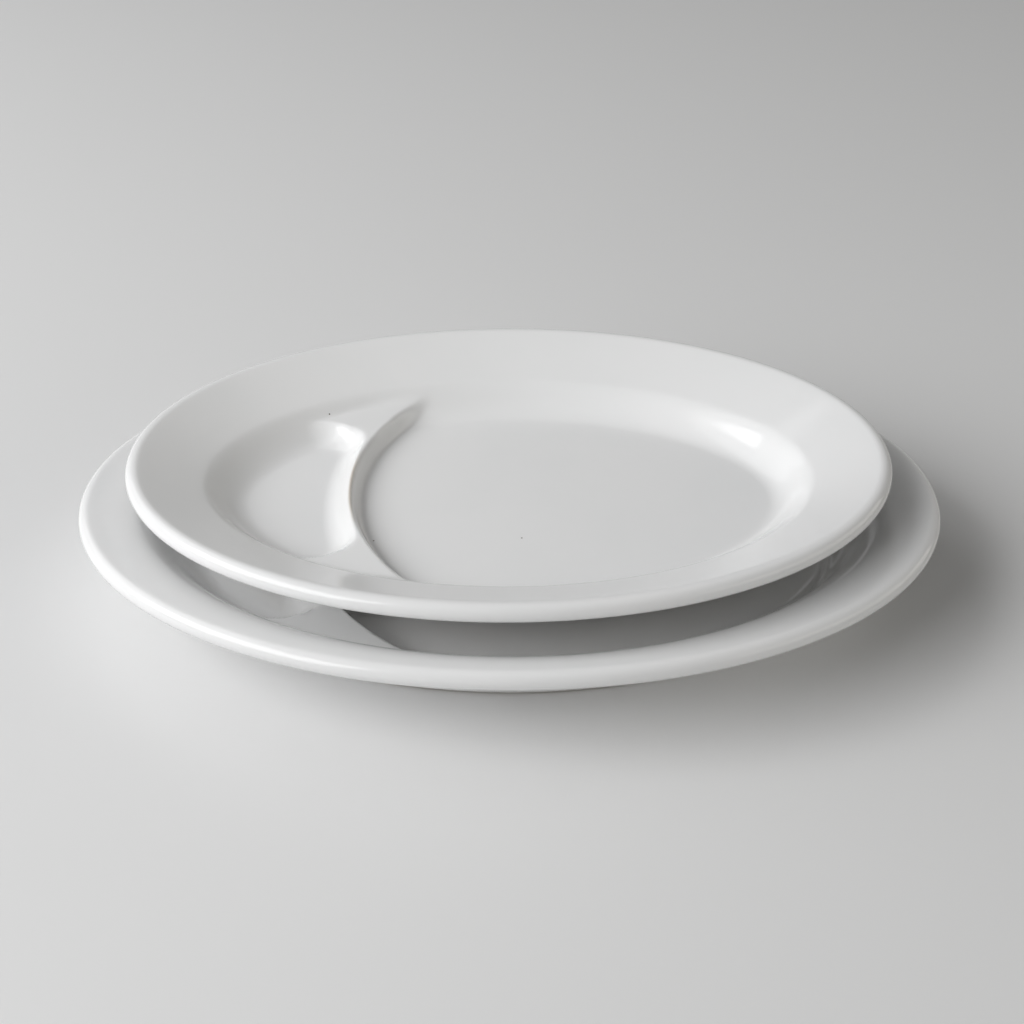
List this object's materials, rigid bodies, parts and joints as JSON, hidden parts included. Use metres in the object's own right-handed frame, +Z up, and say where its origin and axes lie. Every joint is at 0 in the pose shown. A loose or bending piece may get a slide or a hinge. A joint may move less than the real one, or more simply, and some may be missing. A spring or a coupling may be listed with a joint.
{
  "type": "dumpling plate",
  "caption": "Stack of oval white porcelain dumpling plates with broad rims, a curved divider and a sauce pocket; the smaller plate lifts off the larger.",
  "frame": {"origin": "on the table under the middle of the large plate", "axes": "+X along the plates' length, away from the sauce pockets; +Z up"},
  "size_m": [0.267, 0.1884, 0.0448],
  "materials": {
    "large_plate_glaze": "glossy clear glaze over white porcelain, bare clay under the foot ring",
    "small_plate_glaze": "glossy clear glaze over white porcelain, bare clay under the foot ring"
  },
  "bodies": {
    "large_plate": {"large_plate": "large_plate_glaze"},
    "small_plate": {"small_plate": "small_plate_glaze"}
  },
  "joints": [
    {"name": "small_plate_lift", "type": "slide", "parent": "large_plate", "child": "small_plate", "axis": [0, 0, 1], "range_m": [0, 0.06]}
  ]
}
